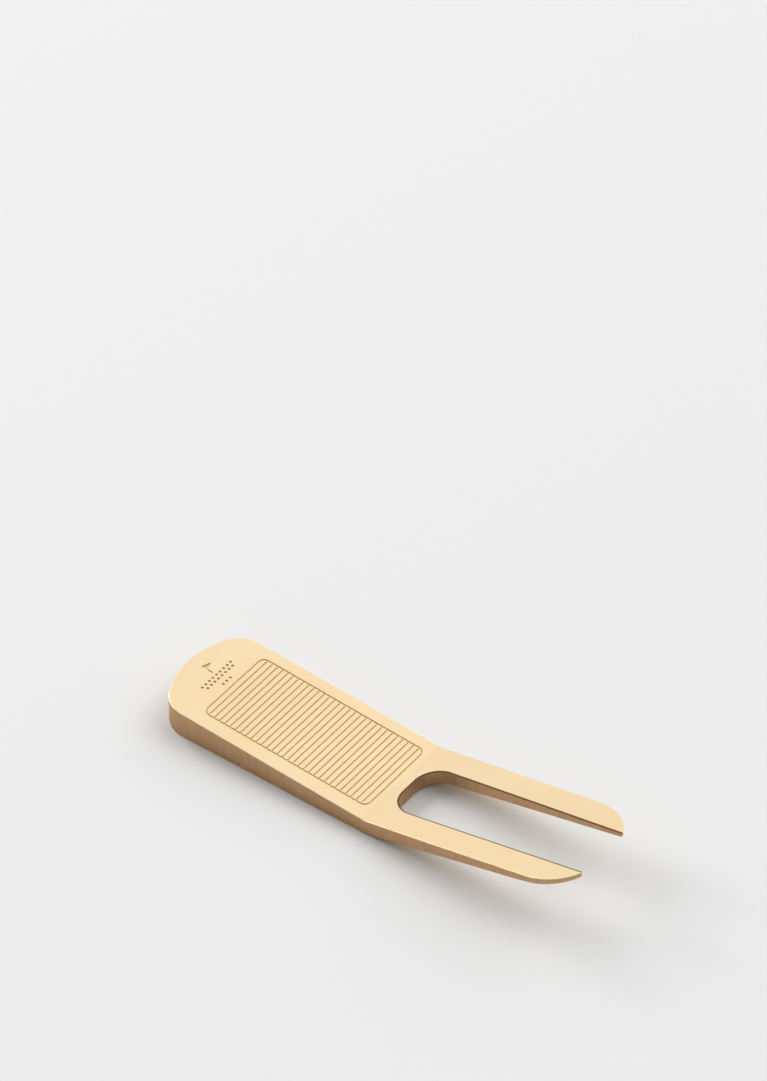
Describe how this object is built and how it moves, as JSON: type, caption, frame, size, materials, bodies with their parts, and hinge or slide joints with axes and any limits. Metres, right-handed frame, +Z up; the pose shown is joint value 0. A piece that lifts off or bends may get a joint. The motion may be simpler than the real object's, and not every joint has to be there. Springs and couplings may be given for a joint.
{
  "type": "divot repair tool",
  "caption": "Solid brass golf divot repair tool: tapering slab handle with a rounded end and a grooved grip panel, bent up into a slim forked end.",
  "frame": {"origin": "middle of the tool's length and width, on the plane that the handle's flat underside rests on", "axes": "+X along the tool from the round end to the prong tips, +Y across it, +Z up out of the engraved face"},
  "size_m": [0.079, 0.02, 0.0105],
  "materials": {
    "brass": "satin, fine brushed, pale gold"
  },
  "bodies": {
    "root": {"tool_body": "brass"}
  },
  "joints": []
}
